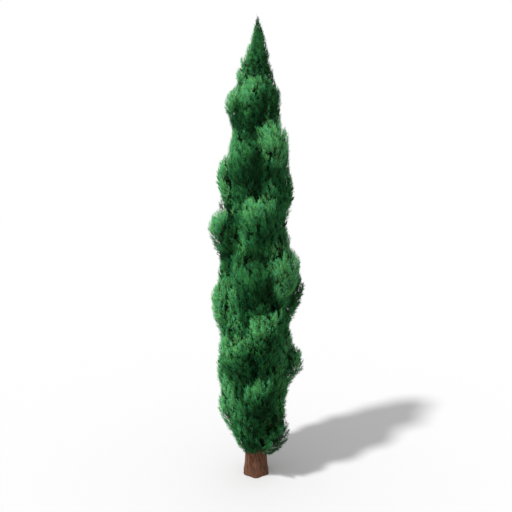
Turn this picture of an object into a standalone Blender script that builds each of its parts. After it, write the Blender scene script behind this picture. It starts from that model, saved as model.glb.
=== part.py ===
"""A columnar cypress ten metres tall, rooted in the ground.

One straight trunk with a root flare runs up the whole tree. Round it stand the masses of foliage,
each on a stem of its own, and together they make a narrow column of bulging tufts that ends in a
spire. A mass is a dense core with twigs and toothed sprays fused on, and it keeps to its own space:
the points that lie nearer to its own heart than to any other mass's heart.

Metres, +Z up. The origin is the middle of the flat cut under the trunk. A bearing is an angle round
the trunk in degrees: 0 is the front (-Y), and 90 is the right side (+X).
"""

import math
import random

import bmesh
import bpy
from mathutils import Matrix, Vector

# Driving sizes of the tree
TREE_HEIGHT = 10.0
CROWN_FOOT = 0.46
SPIRE_FOOT = 8.85
SPIRE_HEART = 9.28

# The column's own outline, without its tufts: (height, radius)
CROWN_OUTLINE = (
    (CROWN_FOOT, 0.3),
    (0.62, 0.4),
    (1.0, 0.55),
    (1.6, 0.66),
    (2.4, 0.75),
    (3.2, 0.79),
    (4.3, 0.77),
    (5.5, 0.69),
    (6.6, 0.62),
    (7.6, 0.53),
    (8.3, 0.44),
    (SPIRE_FOOT, 0.33),
    (9.3, 0.2),
    (9.72, 0.08),
    (TREE_HEIGHT, 0.0),
)

# The tufts, from the ground up: (bearing, height of the fullest point, how far it stands out of the column)
TUFTS = (
    (-26, 1.0, 0.06),
    (-84, 0.92, 0.06),
    (-140, 1.0, 0.18),
    (168, 0.92, 0.08),
    (112, 1.0, 0.14),
    (48, 1.12, 0.26),
    (-110, 1.56, 0.3),
    (148, 1.72, 0.24),
    (84, 1.9, 0.05),
    (5, 2.1, 0.28),
    (-62, 2.05, 0.06),
    (-165, 2.2, 0.25),
    (108, 2.52, 0.42),
    (-35, 3.0, 0.3),
    (-118, 2.7, 0.24),
    (162, 3.05, 0.24),
    (60, 2.95, 0.06),
    (-150, 3.5, 0.22),
    (18, 3.62, 0.28),
    (-108, 4.0, 0.32),
    (112, 4.15, 0.36),
    (158, 4.2, 0.2),
    (-58, 4.5, 0.06),
    (-2, 4.55, 0.29),
    (-158, 4.75, 0.26),
    (54, 4.95, 0.37),
    (-74, 5.68, 0.43),
    (130, 5.25, 0.26),
    (8, 5.92, 0.3),
    (88, 5.85, 0.05),
    (-128, 5.85, 0.14),
    (178, 5.75, 0.25),
    (124, 6.5, 0.31),
    (52, 6.5, 0.08),
    (-108, 6.75, 0.29),
    (-23, 6.95, 0.29),
    (-170, 6.85, 0.22),
    (42, 7.5, 0.29),
    (106, 7.45, 0.2),
    (-72, 7.45, 0.06),
    (-136, 7.6, 0.2),
    (172, 7.85, 0.2),
    (-62, 8.2, 0.29),
    (-5, 8.35, 0.24),
    (62, 8.35, 0.08),
    (130, 8.45, 0.2),
    (-138, 8.86, 0.17),
)
TUFT_RISE = 0.46
TUFT_DROP = 0.8
TUFT_SPREAD = 0.6
TUFT_EDGE = 0.06
HEART_SHARE = 0.74

# The trunk
TRUNK_TOP = 9.62
TRUNK_RADIUS = 0.262
TRUNK_TIP_RADIUS = 0.008
TRUNK_TAPER = 0.86
FLARE_REACH = 0.04
FLARE_HEIGHT = 0.17
FLARE_RIBS = 6
RIB_DEPTH = (0.019, 0.055)
TRUNK_SIDES = 12
TRUNK_RINGS = (0.0, 0.07, 0.17, 0.32, 0.55, 1.1, 2.2, 3.6, 5.0, 6.4, 7.6, 8.6, 9.2)

# The masses
FIT_GAP = 0.0003
SPACE_GAP = 0.004
TRUNK_GAP = 0.03
CORE_DEPTH = (0.08, 0.19)
THIN_GIRTH = 0.4
LEAST_CORE = 0.03
CORE_ROW = 0.22
CORE_ROWS = 5
CORE_TURNS = (-78, -50, -30, -12, 12, 30, 50, 78)
CORE_STEP = 45
CORE_GAP = 0.014
CORE_MERGE = 0.055
CORE_FLATNESS = math.radians(2)
STEM_RADIUS = (0.016, 0.034)
STEM_TAPER = 0.7
STEM_SINK = 1.5
STEM_SIDES = 5
STEM_RISES = (0.4, 0.3, 0.2, 0.1, 0.0, -0.1)
STEM_TURNS = (0, -20, 20, -40, 40)
STEM_ROOM = 0.07
STEM_SHARE = 0.6
WORTH_OF_RISE = 0.05
TWIG_RADIUS = 0.016
TWIG_TAPER = (1.0, 0.8, 0.3)
TWIG_START = 0.25
TWIG_REACH = 0.3
TWIG_SIDES = 3
TWIGS_PER_MASS = 2

# The sprays
SPRAY_ROW = 0.31
SPRAY_PITCH = 0.29
SPRAY_LENGTH = (0.32, 0.56)
SPRAY_WIDTH = (0.13, 0.28)
SPRAY_PLUMPNESS = 0.13
SPRAY_SINK = 0.045
LEAST_LEAN = (-0.3, 0.14)
MOST_LEAN = 0.9
SPRAY_SIZES = (1.0, 0.82, 0.66)
SPRAY_ROLLS = (0.0, 0.5, -0.5)
SPRAY_SLIDES = (0.0, 0.2, 0.4, 0.6)
GOLDEN_TURN = 137.5
LEAST_IN_ROW = 5
TURN_JITTER = 0.12
HEIGHT_JITTER = 0.04
VIGOUR = (0.9, 1.1)
# The tips and notches of a spray's two edges, root to tip: (share of its length, share of its half width)
RIGHT_TEETH = ((0.56, 1.0), (0.57, 0.4))
LEFT_TEETH = ((0.76, 0.9), (0.68, 0.36))
RIDGE_AT = 0.42
SEED = 7

# The spire
SPIRE_LEADER = 0.35
LEADER_LENGTH = 0.42
LEADER_RADII = (0.04, 0.002)
SPIRE_SPRAYS = (6, 5, 4, 3)
SPIRE_DROP = 0.36
SPIRE_ROW = 0.2
SPIRE_SINK = 0.018
SPIRE_PITH = 0.012

# Fusing
SOLVERS = ("EXACT", "MANIFOLD")
SLIGHT = 1e-6

BARK_COLOUR = (0.21, 0.125, 0.08, 1.0)
FOLIAGE_COLOURS = (
    (0.03, 0.13, 0.045, 1.0),
    (0.045, 0.17, 0.05, 1.0),
    (0.06, 0.21, 0.075, 1.0),
)


def clear_scene():
    for obj in list(bpy.data.objects):
        bpy.data.objects.remove(obj, do_unlink=True)


def mix(ends, share):
    return ends[0] + (ends[1] - ends[0]) * share


def on_circle(bearing, radius, height):
    """The point at this bearing and distance from the trunk's axis."""
    turn = math.radians(bearing)
    return Vector((radius * math.sin(turn), -radius * math.cos(turn), height))


def bearing_of(point):
    return math.degrees(math.atan2(point.x, -point.y))


def turn_between(first, second):
    """The smaller angle from one bearing to another, with its sign."""
    return (first - second + 180.0) % 360.0 - 180.0


def column_radius(height):
    """The column's radius at a height, without its tufts."""
    if height <= CROWN_OUTLINE[0][0]:
        return CROWN_OUTLINE[0][1]
    for (low, low_radius), (high, high_radius) in zip(CROWN_OUTLINE, CROWN_OUTLINE[1:]):
        if height <= high:
            return mix((low_radius, high_radius), (height - low) / (high - low))
    return 0.0


WIDEST = max(radius for _, radius in CROWN_OUTLINE)


def girth_share(height):
    """How full the column is at a height, from 0 at its tip to 1 at its widest."""
    return column_radius(height) / WIDEST


def tuft_reach(number, turn, height, column):
    """How far one tuft stands out of the column, at this angle from its own bearing and at this height.

    It is round across, blunt at its top and drawn out thin below, as a plume of upswept twigs is.
    """
    _, middle, reach = TUFTS[number]
    rise = height - middle
    half_width = TUFT_SPREAD * column_radius(middle) + TUFT_EDGE
    across = max(0.0, 1.0 - (math.radians(turn) * column / half_width) ** 2)
    if rise > 0.0:
        return reach * math.sqrt(across * max(0.0, 1.0 - (rise / TUFT_RISE) ** 2))
    return reach * math.sqrt(across) * max(0.0, 1.0 - (rise / TUFT_DROP) ** 2)


def crown_radius(bearing, height):
    """The distance from the axis to the crown's surface, tufts included."""
    column = column_radius(height)
    turns = [turn_between(bearing, tuft[0]) for tuft in TUFTS]
    return column + max(tuft_reach(number, turn, height, column) for number, turn in enumerate(turns))


def core_depth(height):
    """How far under the crown's surface the cores lie: less where the column is thin."""
    full = girth_share(height)
    return mix(CORE_DEPTH, full) * min(1.0, full / THIN_GIRTH)


def trunk_radius(height, bearing=0.0):
    """The trunk's radius: a taper to the tip, a flare at the ground, and shallow ribs on the flare."""
    taper = max(0.0, 1.0 - height / TRUNK_TOP) ** TRUNK_TAPER
    flare = math.exp(-height / FLARE_HEIGHT)
    ribs = 1.0 + mix(RIB_DEPTH, flare) * math.cos(math.radians(bearing * FLARE_RIBS))
    return max(TRUNK_TIP_RADIUS, (TRUNK_RADIUS * taper + FLARE_REACH * flare) * ribs)


def hearts():
    """The point that each mass grows round: one for every tuft, and one on the axis for the spire."""
    found = [on_circle(b, HEART_SHARE * column_radius(h), h) for b, h, _ in TUFTS]
    return found + [Vector((0.0, 0.0, SPIRE_HEART))]


HEARTS = hearts()


def room_in_space(point, number):
    """How far the point lies inside the flat walls between one mass's heart and all the others."""
    own = HEARTS[number]
    room = math.inf
    for other, heart in enumerate(HEARTS):
        if other == number:
            continue
        away = heart - own
        room = min(room, ((own + heart) / 2 - point).dot(away) / away.length)
    return room


def nearest_mass(point):
    return min(range(len(HEARTS)), key=lambda number: (HEARTS[number] - point).length_squared)


def material(name, colour, roughness):
    made = bpy.data.materials.new(name)
    made.use_nodes = True
    shader = made.node_tree.nodes["Principled BSDF"]
    shader.inputs["Base Color"].default_value = colour
    shader.inputs["Roughness"].default_value = roughness
    shader.inputs["Metallic"].default_value = 0.0
    return made


def object_from(name, bm, finish=None):
    """A scene object that holds this mesh, with its faces pointing out."""
    bmesh.ops.recalc_face_normals(bm, faces=bm.faces)
    mesh = bpy.data.meshes.new(name)
    bm.to_mesh(mesh)
    bm.free()
    if finish:
        mesh.materials.append(finish)
    obj = bpy.data.objects.new(name, mesh)
    bpy.context.scene.collection.objects.link(obj)
    return obj


def make_convex(bm):
    """Leaves the convex hull of the mesh's vertices."""
    bmesh.ops.delete(bm, geom=bm.edges[:] + bm.faces[:], context="EDGES_FACES")
    hull = bmesh.ops.convex_hull(bm, input=bm.verts)
    inner = {v for v in hull["geom_interior"] + hull["geom_unused"] if isinstance(v, bmesh.types.BMVert)}
    bmesh.ops.delete(bm, geom=list(inner), context="VERTS")
    bm.normal_update()


def cut_flat(bm, at, normal):
    """Cuts away what lies past a plane and closes the cut."""
    everything = bm.verts[:] + bm.edges[:] + bm.faces[:]
    bmesh.ops.bisect_plane(bm, geom=everything, dist=SLIGHT, plane_co=at, plane_no=normal, clear_outer=True)
    bmesh.ops.holes_fill(bm, edges=[edge for edge in bm.edges if edge.is_boundary], sides=0)


def ring(bm, centre, across, along, radius, sides):
    """One ring of vertices round a centre, in the plane of two unit vectors."""
    turns = [2 * math.pi * n / sides for n in range(sides)]
    rim = [across * math.cos(turn) + along * math.sin(turn) for turn in turns]
    return [bm.verts.new(centre + radius * way) for way in rim]


def bridge(bm, low, high):
    for n in range(len(low)):
        after = (n + 1) % len(low)
        bm.faces.new((low[n], low[after], high[after], high[n]))


def limb(name, points, radii, sides):
    """A tapering limb through the points, closed at both ends."""
    bm = bmesh.new()
    along = (points[-1] - points[0]).normalized()
    across = along.orthogonal().normalized()
    rings = [ring(bm, p, across, along.cross(across), r, sides) for p, r in zip(points, radii)]
    for low, high in zip(rings, rings[1:]):
        bridge(bm, low, high)
    bm.faces.new(reversed(rings[0]))
    bm.faces.new(rings[-1])
    return object_from(name, bm)


def trunk_mesh(clearance=0.0):
    """The trunk's closed mesh, made larger by the clearance where it serves as a cutter."""
    bm = bmesh.new()
    rings = []
    for height in TRUNK_RINGS + (TRUNK_TOP + clearance,):
        bearings = [360.0 * n / TRUNK_SIDES for n in range(TRUNK_SIDES)]
        foot = -clearance if height == 0.0 else 0.0
        rings.append(
            [bm.verts.new(on_circle(b, trunk_radius(height, b) + clearance, height + foot)) for b in bearings]
        )
    for low, high in zip(rings, rings[1:]):
        bridge(bm, low, high)
    bm.faces.new(reversed(rings[0]))
    bm.faces.new(rings[-1])
    return bm


def spray_frame(bearing, lean, roll):
    """(along, across, outward) of a spray that leans out from upright and is rolled about its length."""
    out = on_circle(bearing, 1.0, 0.0)
    along = Vector((0.0, 0.0, math.cos(lean))) + out * math.sin(lean)
    side = Vector((0.0, 0.0, 1.0)).cross(out)
    across = Matrix.Rotation(roll, 3, along) @ side
    return along, across, along.cross(across)


def spray_points(root, frame, length, half_width):
    """The toothed edge of a spray, and the ridge point on its outer face."""
    along, across, outward = frame
    right = [root + along * length * s + across * half_width * w for s, w in RIGHT_TEETH]
    left = [root + along * length * s - across * half_width * w for s, w in reversed(LEFT_TEETH)]
    ridge = root + along * length * RIDGE_AT + outward * length * SPRAY_PLUMPNESS
    return [root, *right, root + along * length, *left], ridge


def spray_object(edge, ridge):
    """A blade with a flat back and a face that rises to its ridge point."""
    bm = bmesh.new()
    rim = [bm.verts.new(p) for p in edge]
    top = bm.verts.new(ridge)
    for n, here in enumerate(rim):
        bm.faces.new((here, rim[(n + 1) % len(rim)], top))
    back = bm.faces.new(reversed(rim))
    bmesh.ops.triangulate(bm, faces=[back])
    return object_from("spray", bm)


class Mass:
    """One mass of foliage: its space, its core, its stem and what stands out of the core."""

    def __init__(self, number):
        self.number = number
        self.heart = HEARTS[number]
        self.is_spire = number == len(TUFTS)
        self.bearing = 0.0 if self.is_spire else TUFTS[number][0]
        self.out = on_circle(self.bearing, 1.0, 0.0)
        self.name = "foliage_spire" if self.is_spire else f"foliage_mass_{number + 1:02d}"
        self.walls = []
        self.parts = []
        self.twigs = 0

    def inside(self, point, room=SPACE_GAP):
        """Whether a point is in the mass's own space, off the ground and on its own side of the trunk."""
        if point.z < CROWN_FOOT or room_in_space(point, self.number) < room:
            return False
        return self.is_spire or point.dot(self.out) > trunk_radius(point.z) + TRUNK_GAP

    def own_radius(self, turn, height):
        """The distance from the axis to the crown's surface, with this mass's own tuft alone."""
        column = column_radius(height)
        return column + (0.0 if self.is_spire else tuft_reach(self.number, turn, height, column))

    def core_points(self):
        """Points on the core's outer face and along the trunk, in rows that overrun the mass's own space."""
        turns = range(360) if self.is_spire else CORE_TURNS
        for row in range(-CORE_ROWS, CORE_ROWS + 1):
            height = min(self.heart.z + row * CORE_ROW, TREE_HEIGHT - SPIRE_LEADER)
            depth = core_depth(height)
            for turn in turns[:: CORE_STEP if self.is_spire else 1]:
                bearing = self.bearing + turn
                yield on_circle(bearing, max(LEAST_CORE, self.own_radius(turn, height) - depth), height)
            if not self.is_spire:
                yield Vector((0.0, 0.0, height))

    def make_core(self, finish):
        """The core: a convex body under the crown's surface, cut flat at the trunk and the space's walls."""
        bm = bmesh.new()
        for point in self.core_points():
            bm.verts.new(point)
        make_convex(bm)
        for heart in HEARTS:
            if heart is not self.heart:
                away = (heart - self.heart).normalized()
                cut_flat(bm, (heart + self.heart) / 2 - away * CORE_GAP, away)
        cut_flat(bm, Vector((0.0, 0.0, CROWN_FOOT)), Vector((0.0, 0.0, -1.0)))
        if not self.is_spire:
            low = min(vertex.co.z for vertex in bm.verts)
            cut_flat(bm, self.out * (trunk_radius(low) + TRUNK_GAP), -self.out)
        bmesh.ops.remove_doubles(bm, verts=bm.verts, dist=CORE_MERGE)
        make_convex(bm)
        middle = sum((vertex.co for vertex in bm.verts), Vector()) / len(bm.verts)
        for face in bm.faces:
            at, normal = face.calc_center_median(), face.normal
            self.walls.append((at, normal.copy() if (at - middle).dot(normal) > 0.0 else -normal))
        bmesh.ops.dissolve_limit(bm, angle_limit=CORE_FLATNESS, verts=bm.verts, edges=bm.edges)
        self.core = object_from(self.name, bm, finish)

    def stem_foot(self):
        """Where the stem leaves the trunk: as low as the mass's own space leaves room for it."""
        feet = []
        for rise in STEM_RISES:
            for turn in STEM_TURNS:
                height, bearing = self.heart.z - rise, self.bearing + turn
                foot = on_circle(bearing, trunk_radius(height, bearing), height)
                room = room_in_space(foot, self.number)
                feet.append((min(room, STEM_ROOM) + WORTH_OF_RISE * rise, room, foot))
        _, room, foot = max(feet, key=lambda choice: choice[0])
        return foot, room

    def make_stem(self):
        """The stem, from inside the trunk up into the core. It is cut to the trunk's skin afterwards."""
        foot, room = self.stem_foot()
        radius = min(mix(STEM_RADIUS, girth_share(self.heart.z)), STEM_SHARE * room)
        start = foot - (self.heart - foot).normalized() * radius * STEM_SINK
        self.parts.append(limb("stem", (start, self.heart), (radius, radius * STEM_TAPER), STEM_SIDES))

    def rooting_place(self, bearing, height):
        """The point just inside the core's outer face at a bearing and height, or None past its ends."""
        axis, out = Vector((0.0, 0.0, height)), on_circle(bearing, 1.0, 0.0)
        near, far = 0.0, math.inf
        for at, normal in self.walls:
            reach, slope = (at - axis).dot(normal), out.dot(normal)
            if slope > SLIGHT:
                far = min(far, reach / slope)
            elif slope < -SLIGHT:
                near = max(near, reach / slope)
            elif reach < 0.0:
                return None
        return axis + out * (far - SPRAY_SINK) if far > near + 2 * SPRAY_SINK else None

    def lean_to_surface(self, root, length):
        """The lean from upright at which a spray of this length ends on the crown's surface."""
        bearing, radius = bearing_of(root), math.hypot(root.x, root.y)
        least = mix(LEAST_LEAN, girth_share(root.z))
        lean = least
        for _ in range(3):
            gap = crown_radius(bearing, root.z + length * math.cos(lean)) - radius
            slope = min(math.sin(MOST_LEAN), max(math.sin(least), gap / length))
            lean = math.asin(slope)
        return lean

    def add_spray(self, root, length, width):
        """Stands one spray on the root, if a size and a roll of it keep to the mass's space."""
        for size in SPRAY_SIZES:
            lean = self.lean_to_surface(root, length * size)
            for roll in SPRAY_ROLLS:
                frame = spray_frame(bearing_of(root), lean, roll)
                edge, ridge = spray_points(root, frame, length * size, width * size / 2)
                if all(self.inside(p) for p in (*edge, ridge)):
                    self.parts.append(spray_object(edge, ridge))
                    self.add_twig(root, root + frame[0] * length * size * TWIG_REACH)
                    return True
        return False

    def grow(self, bearing, height, vigour):
        """Stands a spray at a place on the core, moved towards the mass's middle where it wouldn't fit."""
        for slide in SPRAY_SLIDES:
            turned = bearing - slide * turn_between(bearing, self.bearing)
            root = self.rooting_place(turned, height + slide * (self.heart.z - height))
            full = girth_share(height)
            if root and self.add_spray(root, mix(SPRAY_LENGTH, full) * vigour, mix(SPRAY_WIDTH, full)):
                return

    def add_twig(self, root, end):
        """A three-sided twig from the stem's end that carries one of the first sprays."""
        if self.twigs >= TWIGS_PER_MASS or not self.inside(end, TWIG_RADIUS):
            return
        self.twigs += 1
        start = self.heart.lerp(root, TWIG_START)
        radii = [TWIG_RADIUS * taper for taper in TWIG_TAPER]
        self.parts.append(limb("twig", (start, root, end), radii, TWIG_SIDES))

    def fuse(self, cutter):
        """Joins the core with all that stands on it, but for parts that would keep it from closing."""
        plain = self.core.data
        if not self.closes(plain, self.parts, cutter):
            kept = []
            for part in self.parts:
                if self.closes(plain, kept + [part], cutter):
                    kept.append(part)
            self.closes(plain, kept, cutter)
        for part in self.parts:
            bpy.data.objects.remove(part, do_unlink=True)

    def closes(self, plain, standing, cutter):
        """Joins the plain core with these parts by the solvers in turn, until one leaves it closed."""
        for solver in SOLVERS:
            self.core.data = plain.copy()
            join(self.core, standing, cutter, solver)
            if is_closed(self.core.data):
                return True
        return False


def join(core, parts, cutter, solver):
    """Unites the core with the parts, cuts away the trunk's room, and keeps the largest body."""
    group = bpy.data.collections.new("standing")
    bpy.context.scene.collection.children.link(group)
    for part in parts:
        group.objects.link(part)
    union = core.modifiers.new("union", "BOOLEAN")
    union.operation = "UNION"
    union.operand_type = "COLLECTION"
    union.collection = group
    union.solver = solver
    clearance = core.modifiers.new("trunk clearance", "BOOLEAN")
    clearance.operation = "DIFFERENCE"
    clearance.object = cutter
    clearance.solver = solver
    apply_modifiers(core)
    bpy.data.collections.remove(group)
    keep_largest_body(core.data)


def apply_modifiers(obj):
    """Replaces the object's mesh by what its modifiers make of it."""
    bpy.context.view_layer.update()
    graph = bpy.context.evaluated_depsgraph_get()
    mesh = bpy.data.meshes.new_from_object(obj.evaluated_get(graph), depsgraph=graph)
    obj.modifiers.clear()
    obj.data = mesh


def body_from(face, seen):
    """All the faces joined to this one across edges."""
    body, waiting = [], [face]
    seen.add(face)
    while waiting:
        here = waiting.pop()
        body.append(here)
        for other in (other for edge in here.edges for other in edge.link_faces):
            if other not in seen:
                seen.add(other)
                waiting.append(other)
    return body


def keep_largest_body(mesh):
    """Fills the hollows that fusing seals and drops loose scraps, by keeping the largest closed surface."""
    bm = bmesh.new()
    bm.from_mesh(mesh)
    bmesh.ops.triangulate(bm, faces=bm.faces)
    seen = set()
    bodies = [body_from(face, seen) for face in bm.faces if face not in seen]
    bodies.sort(key=len)
    bmesh.ops.delete(bm, geom=[face for body in bodies[:-1] for face in body], context="FACES")
    bm.to_mesh(mesh)
    bm.free()


def is_closed(mesh):
    bm = bmesh.new()
    bm.from_mesh(mesh)
    closed = all(len(edge.link_faces) == 2 for edge in bm.edges)
    bm.free()
    return closed


def clothe(masses):
    """Stands sprays all over the crown, in staggered rings, each on the mass whose space holds its root."""
    dice = random.Random(SEED)
    for row in range(int((SPIRE_HEART - CROWN_FOOT) / SPRAY_ROW)):
        height = CROWN_FOOT + (row + 0.5) * SPRAY_ROW
        radius = column_radius(height)
        count = max(LEAST_IN_ROW, round(2 * math.pi * radius / SPRAY_PITCH))
        for n in range(count):
            bearing = 360.0 * (n + dice.uniform(-TURN_JITTER, TURN_JITTER)) / count + row * GOLDEN_TURN
            near = nearest_mass(on_circle(bearing, radius * HEART_SHARE, height))
            if not masses[near].is_spire:
                lift = dice.uniform(-HEIGHT_JITTER, HEIGHT_JITTER)
                masses[near].grow(bearing, height + lift, dice.uniform(*VIGOUR))


def clothe_spire(spire):
    """The leader that makes the tree's point, and the rings of sprays that stand up round it."""
    leader = (Vector((0.0, 0.0, TREE_HEIGHT - LEADER_LENGTH)), Vector((0.0, 0.0, TREE_HEIGHT)))
    spire.parts.append(limb("leader", leader, LEADER_RADII, STEM_SIDES))
    for row, count in enumerate(SPIRE_SPRAYS):
        height = SPIRE_HEART - SPIRE_DROP + row * SPIRE_ROW
        radius = max(SPIRE_PITH, column_radius(height) - core_depth(height) - SPIRE_SINK)
        for n in range(count):
            root = on_circle(360.0 * n / count + row * GOLDEN_TURN, radius, height)
            spire.add_spray(root, SPRAY_LENGTH[0], SPRAY_WIDTH[0])


def build():
    clear_scene()
    bark = material("bark", BARK_COLOUR, 0.9)
    greens = [material(f"foliage_{n + 1}", colour, 0.7) for n, colour in enumerate(FOLIAGE_COLOURS)]
    object_from("trunk", trunk_mesh(), bark)
    cutter = object_from("trunk_cutter", trunk_mesh(FIT_GAP))
    cutter.hide_render = True
    cutter.display_type = "WIRE"
    masses = [Mass(number) for number in range(len(HEARTS))]
    for mass in masses:
        mass.make_core(greens[mass.number % len(greens)])
        if mass.is_spire:
            clothe_spire(mass)
        else:
            mass.make_stem()
    clothe(masses)
    for mass in masses:
        mass.fuse(cutter)
    bpy.data.objects.remove(cutter, do_unlink=True)


build()
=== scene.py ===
"""The looks of a columnar cypress: bark with its relief, boughs, twigs and sprays of scale leaves.

The crown grows by the same rule as the solids inside it. Every tuft has a heart, and a bough runs from the
trunk to it. Plumes stand all over the crown, in staggered rings and in patches on the tufts. Each is on a
twig that leaves the bough of the nearest heart, and leans so that its tip ends on the crown's surface. A
plume carries sprays, and a spray is a handful of branchlets. Metres, +Z up. A bearing is an angle round the
trunk in degrees: 0 is the front (-Y), and 90 is the right side (+X).
"""

import math

import bpy
import numpy as np
from bpy.props import FloatProperty, FloatVectorProperty, IntProperty, PointerProperty
from bpy.types import Operator, Panel, PropertyGroup
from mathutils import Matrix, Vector, noise


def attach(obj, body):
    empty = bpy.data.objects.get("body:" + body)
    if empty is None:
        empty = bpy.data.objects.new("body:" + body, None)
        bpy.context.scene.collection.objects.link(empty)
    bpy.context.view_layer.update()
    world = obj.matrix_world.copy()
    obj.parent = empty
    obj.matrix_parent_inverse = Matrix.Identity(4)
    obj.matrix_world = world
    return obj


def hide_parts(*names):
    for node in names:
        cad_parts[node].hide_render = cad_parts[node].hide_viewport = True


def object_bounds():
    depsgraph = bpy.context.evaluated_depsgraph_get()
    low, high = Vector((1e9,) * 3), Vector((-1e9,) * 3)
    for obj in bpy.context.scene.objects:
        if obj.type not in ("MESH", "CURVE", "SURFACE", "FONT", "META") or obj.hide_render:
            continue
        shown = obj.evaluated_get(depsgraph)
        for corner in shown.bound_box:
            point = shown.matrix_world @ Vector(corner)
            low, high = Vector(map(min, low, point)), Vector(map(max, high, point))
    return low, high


bl_info = {
    "name": "Columnar Cypress",
    "version": (1, 0, 0),
    "blender": (4, 5, 0),
    "location": "View3D > Sidebar > Cypress",
    "description": "Grows the bark, boughs, twigs and foliage of a columnar cypress round its solids",
    "category": "Add Mesh",
}

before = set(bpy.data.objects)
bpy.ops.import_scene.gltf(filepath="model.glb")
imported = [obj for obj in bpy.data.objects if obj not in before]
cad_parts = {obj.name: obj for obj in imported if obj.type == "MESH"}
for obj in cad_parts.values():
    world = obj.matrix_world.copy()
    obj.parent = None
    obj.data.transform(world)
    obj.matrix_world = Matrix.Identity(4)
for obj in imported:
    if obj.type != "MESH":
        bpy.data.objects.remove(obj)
CAD_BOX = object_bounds()
TREE_HEIGHT = CAD_BOX[1].z
UP = np.array((0.0, 0.0, 1.0))

# The column's own outline, without its tufts: (height, radius)
CROWN_FOOT = 0.46
SPIRE_FOOT = 8.85
SPIRE_HEART = 9.28
CROWN_OUTLINE = (
    (CROWN_FOOT, 0.3),
    (0.62, 0.4),
    (1.0, 0.55),
    (1.6, 0.66),
    (2.4, 0.75),
    (3.2, 0.79),
    (4.3, 0.77),
    (5.5, 0.678),
    (6.6, 0.62),
    (7.6, 0.53),
    (8.3, 0.44),
    (SPIRE_FOOT, 0.352),
    (9.3, 0.243),
    (9.72, 0.09),
    (TREE_HEIGHT, 0.0),
)

# How far the spire stands to the right, and the heights between which the crown's axis bends to it
SPIRE_LEAN = np.array((0.042, 0.0, 0.0))
LEAN_HEIGHTS = (8.9, 9.3)

# The tufts, from the ground up: (bearing, height of the fullest point, how far it stands out of the column,
# how much lighter its green is than the column's)
TUFTS = (
    (-26, 1.0, 0.06, -0.69),
    (-84, 0.92, 0.02, 0),
    (-140, 1.0, 0.18, 0.1),
    (168, 0.92, 0.08, 0),
    (112, 1.0, 0.14, -0.5),
    (51, 1.02, 0.3, -0.55),
    (-90, 1.54, 0.24, 0),
    (148, 1.72, 0.24, 0),
    (84, 1.9, 0.05, 0),
    (5, 2.12, 0.28, -0.31),
    (-74, 2.02, 0.08, 0.86),
    (-165, 2.2, 0.25, 0.1),
    (96, 2.54, 0.38, -0.19),
    (-35, 3.0, 0.3, -0.12),
    (-112, 2.42, 0.22, -0.2),
    (162, 3.05, 0.24, -0.05),
    (60, 2.95, 0.06, 0.23),
    (-150, 3.5, 0.22, 0.05),
    (18, 3.62, 0.28, 0.03),
    (-87, 4.02, 0.27, 0.23),
    (97, 4.27, 0.36, -0.43),
    (158, 4.2, 0.2, 0),
    (-78, 4.8, 0.12, -0.44),
    (-2, 4.55, 0.29, -0.49),
    (-158, 4.75, 0.26, 0),
    (54, 4.82, 0.36, 0.86),
    (-74, 5.64, 0.42, -0.16),
    (130, 5.2, 0.2, 0),
    (8, 5.92, 0.3, 0.01),
    (88, 5.85, 0.02, 0),
    (-128, 5.85, 0.14, 0.1),
    (178, 5.75, 0.25, 0),
    (101, 6.5, 0.24, 0.08),
    (52, 6.5, 0.08, -0.1),
    (-90, 6.78, 0.27, 0.42),
    (-23, 7.03, 0.29, -0.25),
    (-170, 6.85, 0.22, 0),
    (42, 7.44, 0.29, 0.83),
    (106, 7.22, 0.2, 0.1),
    (-72, 7.4, 0.02, 0),
    (-136, 7.55, 0.1, 0.1),
    (172, 7.85, 0.2, 0),
    (-62, 8.17, 0.28, 0.08),
    (-5, 8.35, 0.24, 0.23),
    (62, 8.35, 0.08, -0.1),
    (130, 8.45, 0.2, -0.05),
    (-138, 8.86, 0.17, 0.3),
)

# A tuft's size, and the plumes that its reach earns it. Some tufts, by number, have a shorter underside
TUFT_RISE = 0.46
TUFT_DROP = 0.8
SHORT_DROPS = {4: 0.5, 5: 0.66, 6: 0.6, 12: 0.4, 20: 0.68, 22: 0.42, 26: 0.66, 42: 0.42}
TUFT_SIZES = (0.6, 1.0)
TUFT_SPREAD = 0.43
TUFT_EDGE = 0.05
HEART_SHARE = 0.74
FULL_TUFT = 0.3
LEAST_EARNED = 0.25
MOST_EARNED = 1.3
GOLDEN_TURN = 137.5
GOLDEN_SHARE = 0.618

# The trunk, as the solid has it
TRUNK_TOP = 9.62
TRUNK_RADIUS = 0.262
TRUNK_TIP_RADIUS = 0.008
TRUNK_TAPER = 0.86
FLARE_REACH = 0.04
FLARE_HEIGHT = 0.17
FLARE_RIBS = 6
RIB_DEPTH = (0.019, 0.055)

# The bark's mesh, and its relief of strips, splits and fibres: (width, length)
BARK_SIDES = 320
BARK_STEP = 0.018
BARE_HEIGHT = 0.72
HIDDEN_STEPS = 16
THIN_TRUNK = 0.1
STRIPS = (0.03, 0.42)
SPLITS = (0.014, 0.2)
FIBRES = (0.009, 0.12)
BARK_SPIRAL = 0.35
BARK_WANDER = 0.03
WANDERS_PER_METRE = (3.0, 2.5)
GROOVE_SLOPE = 3.0
FURROW_SHARE = 0.8
SPLIT_SHARE = 0.35
FIBRE_SHARE = 0.15

# The boughs. A pair is for the spire and for the crown's widest part
BOUGH_RADIUS = (0.016, 0.034)
BOUGH_TIP = 0.3
BOUGH_SEAT = 0.04
BOUGH_SIDES = 8
NUDGE = 1e-9
UPRIGHT = 0.9
BOUGH_RINGS = 9
BOUGH_CREST = 0.2
STEM_RISES = (0.4, 0.3, 0.2, 0.1, 0.0, -0.1)
STEM_TURNS = (0, -20, 20, -40, 40)
STEM_ROOM = 0.07
WORTH_OF_RISE = 0.05

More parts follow.
